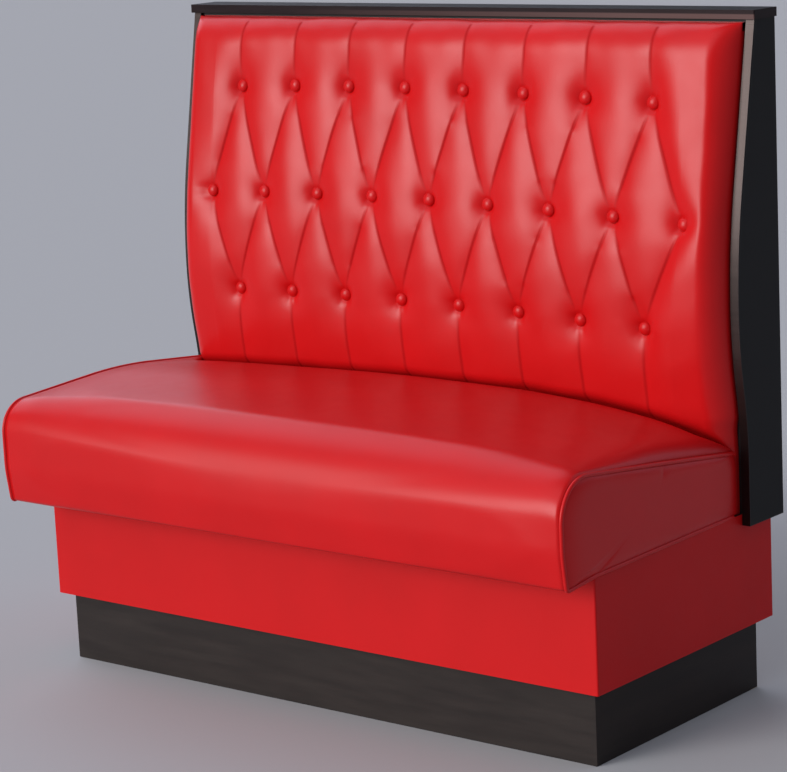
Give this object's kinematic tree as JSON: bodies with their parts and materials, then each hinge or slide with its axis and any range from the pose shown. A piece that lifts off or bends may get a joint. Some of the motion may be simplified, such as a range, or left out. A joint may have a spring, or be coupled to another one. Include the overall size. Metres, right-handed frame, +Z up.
{
  "type": "restaurant booth seat",
  "caption": "Single-sided upholstered booth seat with a diamond-tufted back, crowned lift-off seat cushion, laminated side panels and cap, covered seat box and recessed plinth.",
  "frame": {"origin": "on the floor under the middle of the booth, bottom centre of its bounding box", "axes": "+X to the right seen from the front, +Y from the seat's front to the rear panel, +Z up"},
  "size_m": [1.143, 0.584, 1.067],
  "materials": {
    "plywood": "matte",
    "plinth_laminate": "satin",
    "dark_laminate": "satin",
    "red_vinyl": "satin",
    "foam": "matte",
    "black_cloth": "matte",
    "twine": "matte",
    "steel": "satin"
  },
  "bodies": {
    "booth_frame": {"back_bent_board": "plywood", "back_bolts": "steel", "back_bottom_rail": "plywood", "back_end_rib_left": "plywood", "back_end_rib_right": "plywood", "back_foam": "foam", "back_inner_rib_left": "plywood", "back_inner_rib_right": "plywood", "back_rear_panel": "plywood", "back_top_rail": "plywood", "base_screws": "steel", "box_corner_blocks": "plywood", "box_divider_left": "plywood", "box_divider_right": "plywood", "box_floor_board": "plywood", "box_front_board": "plywood", "box_rear_board": "plywood", "box_rear_ledger": "plywood", "box_side_board_left": "plywood", "box_side_board_right": "plywood", "box_vinyl_cover": "red_vinyl", "button_twines": "twine", "button_washers": "steel", "buttons_low_row": "red_vinyl", "buttons_middle_row": "red_vinyl", "buttons_top_row": "red_vinyl", "plinth_corner_blocks": "plywood", "plinth_cross_member": "plywood", "plinth_front_board": "plywood", "plinth_front_laminate": "plinth_laminate", "plinth_laminate_left": "plinth_laminate", "plinth_laminate_right": "plinth_laminate", "plinth_rear_board": "plywood", "plinth_side_board_left": "plywood", "plinth_side_board_right": "plywood", "rear_panel_screws": "steel", "side_panel_edge_band_left": "dark_laminate", "side_panel_edge_band_right": "dark_laminate", "side_panel_laminate_left": "dark_laminate", "side_panel_laminate_right": "dark_laminate", "side_panel_left": "plywood", "side_panel_right": "plywood", "side_panel_screws": "steel", "top_cap": "plywood", "top_cap_edge_band": "dark_laminate", "top_cap_laminate": "dark_laminate", "top_cap_screws": "steel", "tufted_back_cover": "red_vinyl"},
    "seat_cushion": {"seat_cleat_screws": "steel", "seat_cover": "red_vinyl", "seat_deck": "plywood", "seat_dust_cloth": "black_cloth", "seat_foam": "foam", "seat_locating_cleats": "plywood", "seat_piping_left": "red_vinyl", "seat_piping_right": "red_vinyl", "seat_side_panel_left": "red_vinyl", "seat_side_panel_right": "red_vinyl"}
  },
  "joints": [
    {"name": "seat_lift", "type": "slide", "parent": "booth_frame", "child": "seat_cushion", "axis": [0, -0.7071, 0.7071], "range_m": [0, 0.45]}
  ]
}
